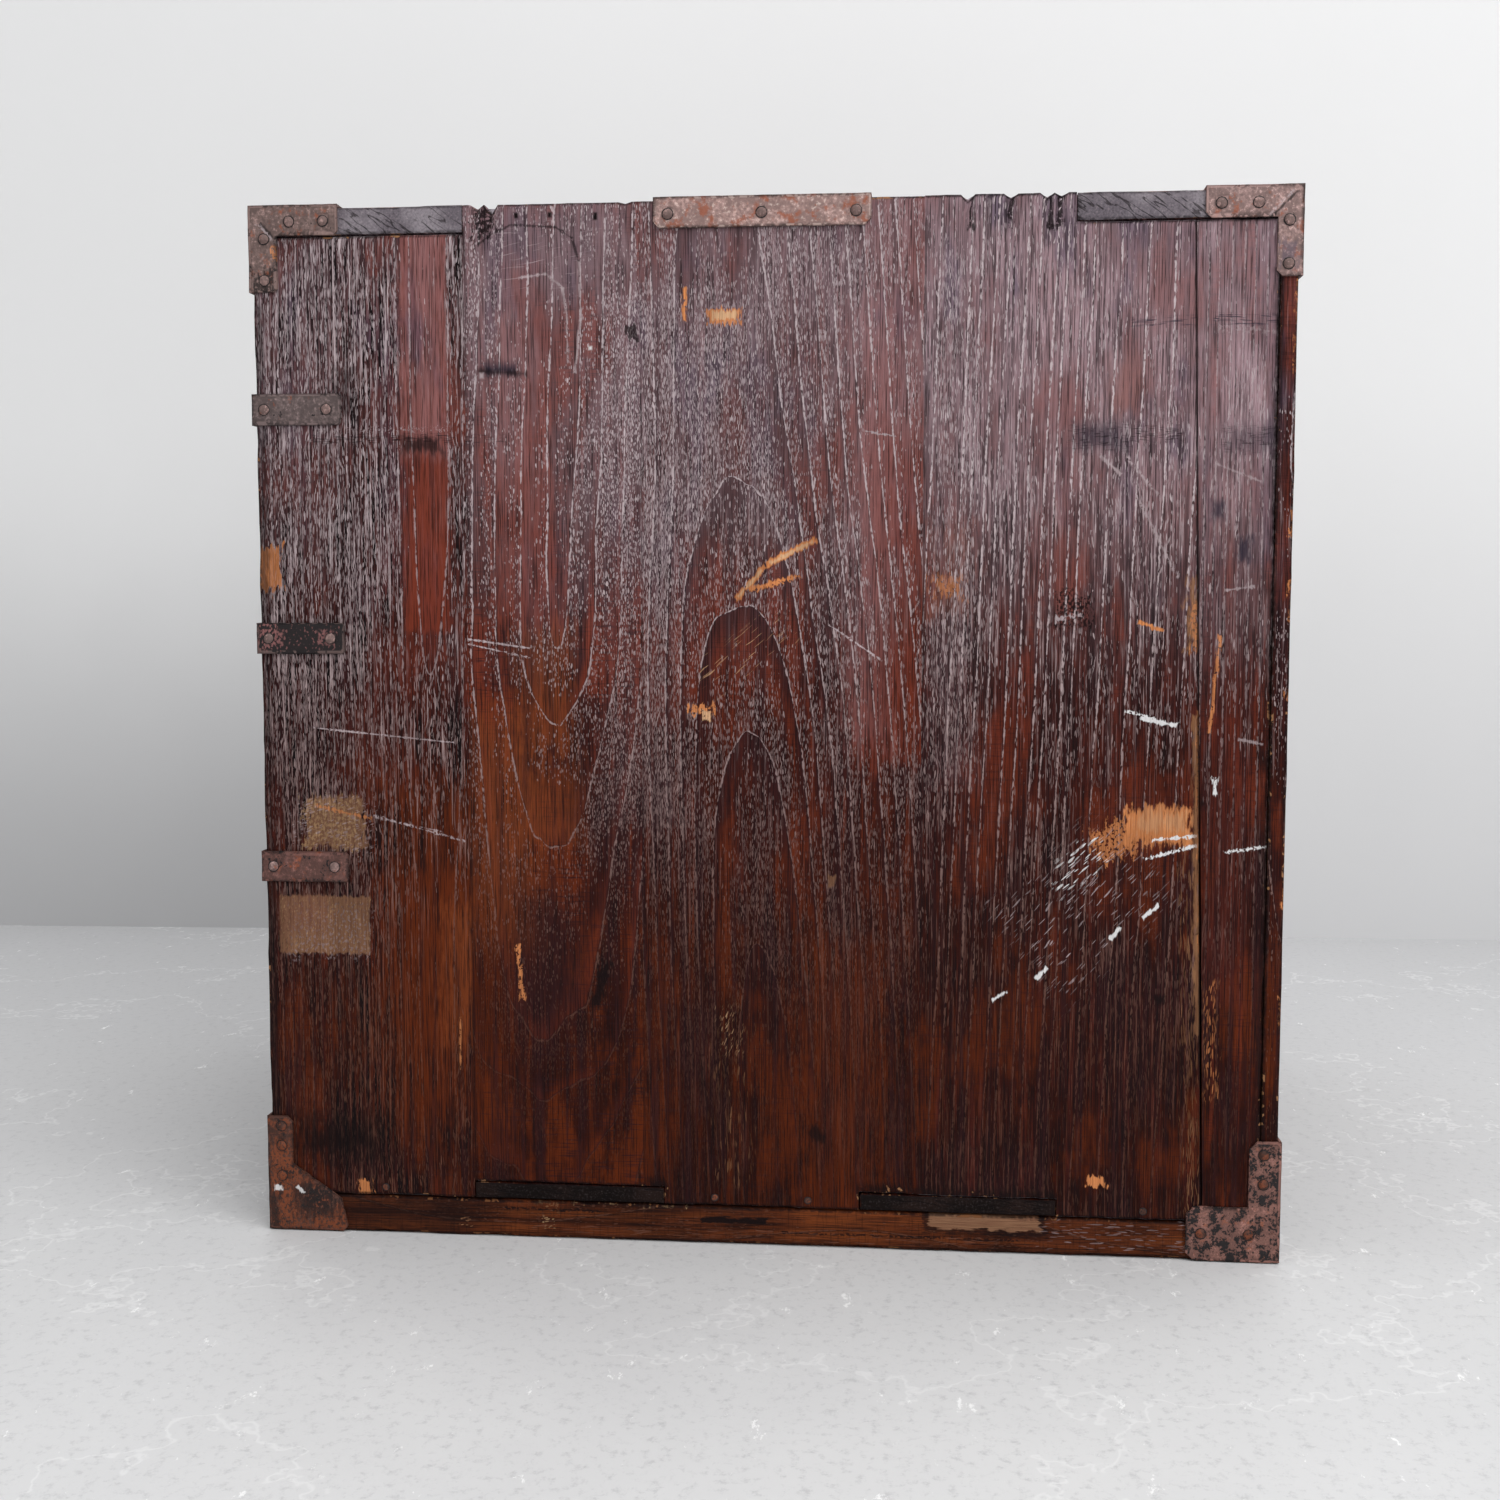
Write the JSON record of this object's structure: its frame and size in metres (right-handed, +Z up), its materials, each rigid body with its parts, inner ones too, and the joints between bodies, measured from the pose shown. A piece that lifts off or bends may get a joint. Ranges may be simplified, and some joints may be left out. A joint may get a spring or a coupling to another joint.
{
  "type": "document chest",
  "caption": "Small wooden chest of graduated drawers on two runners, with a finger-jointed top and nailed iron corners, rail straps and drawer bails.",
  "frame": {"origin": "bottom centre of the overall box, on the floor", "axes": "drawer fronts face -Y, +Z up, +X to the right when facing the drawers"},
  "size_m": [0.4258, 0.5354, 0.5309],
  "materials": {
    "side_wood": "old dark lacquer, worn matt, with open pores",
    "rail_wood": "dark stain, rubbed",
    "end_grain": "dark, dry end grain",
    "drawer_wood": "bare, aged, matt",
    "rusty_iron": "forged sheet with brown rust",
    "black_iron": "forged, blackened, rust in patches"
  },
  "bodies": {
    "case": {"top_board": "rail_wood", "bottom_board": "end_grain", "right_runner": "rail_wood", "left_runner": "rail_wood", "right_side_plank_1": "side_wood", "right_side_plank_2": "side_wood", "right_side_plank_3": "side_wood", "right_side_plank_4": "side_wood", "right_side_plank_5": "side_wood", "left_side_plank_1": "side_wood", "left_side_plank_2": "side_wood", "left_side_plank_3": "side_wood", "left_side_plank_4": "side_wood", "left_side_plank_5": "side_wood", "shelf_1": "rail_wood", "shelf_2": "rail_wood", "shelf_3": "rail_wood", "back_plank_1": "side_wood", "back_plank_2": "side_wood", "back_plank_3": "side_wood", "rail_straps": "rusty_iron", "top_edge_straps": "black_iron", "top_front_corner_irons": "black_iron", "top_back_corner_irons": "black_iron", "bottom_front_corner_irons": "rusty_iron", "bottom_back_corner_irons": "rusty_iron", "strap_nails": "rusty_iron", "case_nails": "rusty_iron"},
    "drawer_1": {"drawer_1_front": "side_wood", "drawer_1_right_side": "drawer_wood", "drawer_1_left_side": "drawer_wood", "drawer_1_back": "drawer_wood", "drawer_1_bottom": "drawer_wood", "drawer_1_pull_posts": "black_iron", "drawer_1_pull_washers": "black_iron"},
    "bail_1": {"drawer_1_bail": "black_iron"},
    "drawer_2": {"drawer_2_front": "side_wood", "drawer_2_right_side": "drawer_wood", "drawer_2_left_side": "drawer_wood", "drawer_2_back": "drawer_wood", "drawer_2_bottom": "drawer_wood", "drawer_2_pull_posts": "black_iron", "drawer_2_pull_washers": "black_iron"},
    "bail_2": {"drawer_2_bail": "black_iron"},
    "drawer_3": {"drawer_3_front": "side_wood", "drawer_3_right_side": "drawer_wood", "drawer_3_left_side": "drawer_wood", "drawer_3_back": "drawer_wood", "drawer_3_bottom": "drawer_wood", "drawer_3_pull_posts": "black_iron", "drawer_3_pull_washers": "black_iron"},
    "bail_3": {"drawer_3_bail": "black_iron"},
    "drawer_4": {"drawer_4_front": "side_wood", "drawer_4_right_side": "drawer_wood", "drawer_4_left_side": "drawer_wood", "drawer_4_back": "drawer_wood", "drawer_4_bottom": "drawer_wood", "drawer_4_pull_posts": "black_iron", "drawer_4_pull_washers": "black_iron"},
    "bail_4": {"drawer_4_bail": "black_iron"}
  },
  "joints": [
    {"name": "drawer_1_slide", "type": "slide", "parent": "case", "child": "drawer_1", "axis": [0, -1, 0], "range_m": [0, 0.4]},
    {"name": "bail_1_swing", "type": "hinge", "parent": "drawer_1", "child": "bail_1", "pos_m": [0, -0.2622, 0.4744], "axis": [-1, 0, 0], "range_deg": [-11, 191]},
    {"name": "drawer_2_slide", "type": "slide", "parent": "case", "child": "drawer_2", "axis": [0, -1, 0], "range_m": [0, 0.4]},
    {"name": "bail_2_swing", "type": "hinge", "parent": "drawer_2", "child": "bail_2", "pos_m": [0, -0.2622, 0.3689], "axis": [-1, 0, 0], "range_deg": [-11, 191]},
    {"name": "drawer_3_slide", "type": "slide", "parent": "case", "child": "drawer_3", "axis": [0, -1, 0], "range_m": [0, 0.4]},
    {"name": "bail_3_swing", "type": "hinge", "parent": "drawer_3", "child": "bail_3", "pos_m": [0, -0.2622, 0.2519], "axis": [-1, 0, 0], "range_deg": [-11, 191]},
    {"name": "drawer_4_slide", "type": "slide", "parent": "case", "child": "drawer_4", "axis": [0, -1, 0], "range_m": [0, 0.4]},
    {"name": "bail_4_swing", "type": "hinge", "parent": "drawer_4", "child": "bail_4", "pos_m": [0, -0.2622, 0.1064], "axis": [-1, 0, 0], "range_deg": [-11, 191]}
  ]
}
